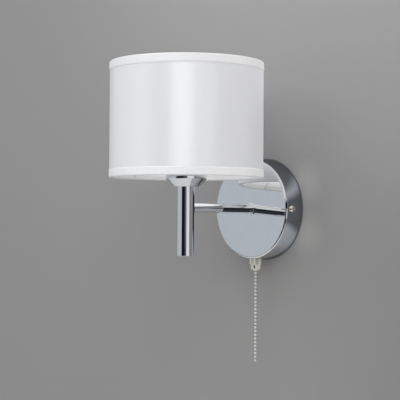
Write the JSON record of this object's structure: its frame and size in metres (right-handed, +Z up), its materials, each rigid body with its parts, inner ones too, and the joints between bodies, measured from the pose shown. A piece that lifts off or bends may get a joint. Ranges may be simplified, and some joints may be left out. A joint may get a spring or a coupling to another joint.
{
  "type": "fabric shade wall light",
  "caption": "Chrome single-arm wall light with a white satin drum shade on an upright stem, a round canopy and a ball-chain pull switch.",
  "frame": {"origin": "middle of the canopy on the wall plane, which is the middle of the two wall screws", "axes": "+Z up along the stem; the light stands out from the wall towards -Y; +X along the bracket"},
  "size_m": [0.148, 0.183, 0.2922],
  "materials": {
    "chrome": "polished chrome plate",
    "zinc_steel": "bright zinc plate",
    "screw_nickel": "warm nickel plate",
    "pull_nickel": "satin nickel plate",
    "chain_steel": "bright nickel plate",
    "contact_brass": "bright",
    "holder_plastic": "fine matt moulding",
    "core_ceramic": "glazed",
    "block_plastic": "natural moulding",
    "switch_plastic": "moulded",
    "spring_steel": "blued",
    "shade_satin": "satin weave with soft sheen",
    "shade_tape": "fine plain weave",
    "liner_white": "satin film",
    "white_wire": "powder coat",
    "lead_brown": "smooth",
    "lead_blue": "smooth"
  },
  "bodies": {
    "fixture": {"canopy_cover": "chrome", "arm_tube": "chrome", "arm_collar": "chrome", "stem_tube": "chrome", "stem_end_cap": "chrome", "holder_cup": "chrome", "wall_bracket": "zinc_steel", "earth_washer": "zinc_steel", "arm_rod": "zinc_steel", "arm_washer": "zinc_steel", "arm_lock_nut": "zinc_steel", "stem_bush": "zinc_steel", "stem_rod": "zinc_steel", "cup_nut": "zinc_steel", "drum_pin": "zinc_steel", "canopy_screws": "screw_nickel", "earth_screw": "screw_nickel", "switch_barrel": "pull_nickel", "switch_inner_nut": "pull_nickel", "switch_collar": "pull_nickel", "switch_outlet": "pull_nickel", "terminal_screws": "contact_brass", "socket_shell": "contact_brass", "centre_contact": "contact_brass", "switch_contacts": "contact_brass", "lampholder_base": "holder_plastic", "lampholder_sleeve": "holder_plastic", "shade_ring_lower": "holder_plastic", "shade_ring_upper": "holder_plastic", "lampholder_core": "core_ceramic", "terminal_block": "block_plastic", "switch_housing": "switch_plastic", "switch_lid": "switch_plastic", "drum_spring": "spring_steel", "shade_fabric": "shade_satin", "shade_bottom_hem": "shade_tape", "shade_top_hem": "shade_tape", "shade_liner": "liner_white", "shade_spider": "white_wire", "shade_top_ring": "white_wire", "lead_live": "lead_brown", "lead_neutral": "lead_blue"},
    "pull_link": {"pull_chain_upper": "chain_steel"},
    "chain_swivel": {"chain_swivel_ball": "chain_steel"},
    "chain_hang": {"pull_chain": "chain_steel"},
    "switch_drum": {"chain_drum": "switch_plastic", "drum_balls": "chain_steel"}
  },
  "joints": [
    {"name": "chain_pull", "type": "slide", "parent": "fixture", "child": "pull_link", "axis": [0, 0, -1], "range_m": [0, 0.008], "stiffness_N_per_m": 800, "springref_m": -0.005},
    {"name": "drum_turn", "type": "hinge", "parent": "fixture", "child": "switch_drum", "pos_m": [0.0045, -0.014, -0.0325], "axis": [0, -1, 0], "range_deg": [0, 102]},
    {"name": "chain_swing_wall", "type": "hinge", "parent": "pull_link", "child": "chain_swivel", "pos_m": [0, -0.014, -0.0644], "axis": [1, 0, 0], "range_deg": [-60, 8]},
    {"name": "chain_swing_side", "type": "hinge", "parent": "chain_swivel", "child": "chain_hang", "pos_m": [0, -0.014, -0.0644], "axis": [0, 1, 0], "range_deg": [-60, 60]}
  ],
  "couplings": [
    {"joint": "drum_turn", "follows": "chain_pull", "rad_per_m": 222.22}
  ]
}
